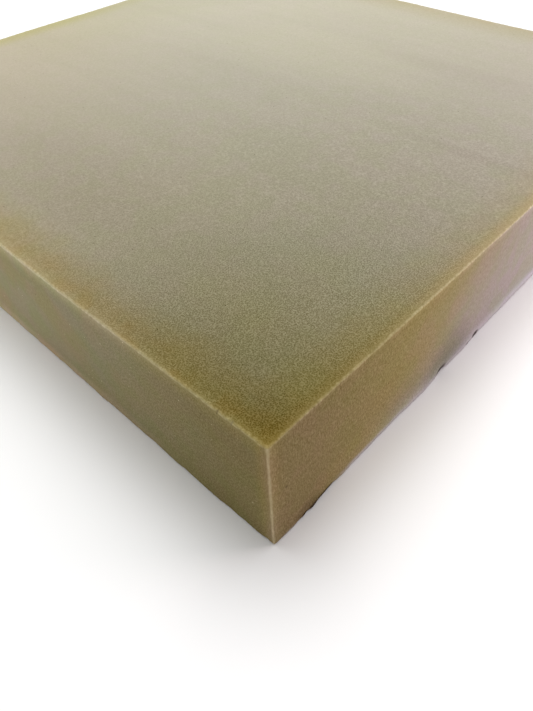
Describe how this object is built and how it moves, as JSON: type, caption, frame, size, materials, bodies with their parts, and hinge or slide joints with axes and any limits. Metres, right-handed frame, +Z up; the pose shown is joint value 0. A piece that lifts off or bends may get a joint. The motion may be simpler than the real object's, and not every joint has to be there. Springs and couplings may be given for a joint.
{
  "type": "foam block",
  "caption": "Low, nearly square slab of open-cell upholstery foam with flat sawn faces, lightly eased edges and shallow pinched nicks in one lower edge.",
  "frame": {"origin": "middle of the underside", "axes": "+X along the longer side, +Y along the shorter side, +Z up through the thickness; the near corner of the picture's view is at +X, -Y"},
  "size_m": [0.62, 0.59, 0.1],
  "materials": {
    "foam": "open-cell polyurethane foam as sawn, fully dull, fine grain of about 1 mm cells, pale greige in the middle and yellowed along the edges"
  },
  "bodies": {
    "root": {"foam_block": "foam"}
  },
  "joints": []
}
